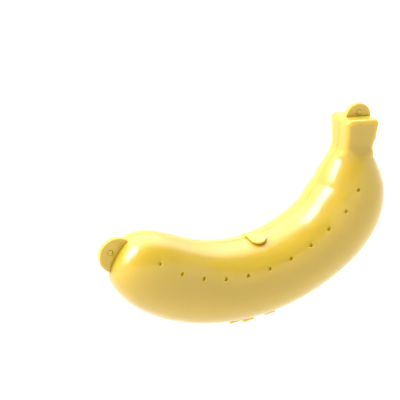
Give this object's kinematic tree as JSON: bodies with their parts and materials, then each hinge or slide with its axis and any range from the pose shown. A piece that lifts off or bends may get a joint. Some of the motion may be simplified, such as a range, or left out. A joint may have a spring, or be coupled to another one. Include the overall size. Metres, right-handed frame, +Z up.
{
  "type": "banana carrying case",
  "caption": "Banana-shaped hard case: two vented half shells on a pinned hinge that is also its foot, with a latch tongue, a nesting seam lip and snap tabs at tip and stem.",
  "frame": {"origin": "on the floor under the seam, at the middle of the hinge's flat foot", "axes": "+X from the rounded tip to the stem, +Y from the front half to the back half across the seam, +Z up as the case stands on its hinge"},
  "size_m": [0.2001, 0.054, 0.1276],
  "materials": {
    "yellow_plastic": "glossy, slightly translucent moulded polypropylene",
    "pin_steel": "drawn wire"
  },
  "bodies": {
    "back_half": {"back_shell": "yellow_plastic", "hinge_pin": "pin_steel"},
    "front_half": {"front_shell": "yellow_plastic"},
    "tongue": {"latch_tongue": "yellow_plastic"}
  },
  "joints": [
    {"name": "main_hinge", "type": "hinge", "parent": "back_half", "child": "front_half", "pos_m": [0, 0, 0.0017], "axis": [1, 0, 0], "range_deg": [0, 180]},
    {"name": "tongue_flex", "type": "hinge", "parent": "back_half", "child": "tongue", "pos_m": [0.0035, 0.001, 0.05959], "axis": [-1, 0, 0], "range_deg": [0, 30], "stiffness_Nm_per_rad": 0.01}
  ]
}
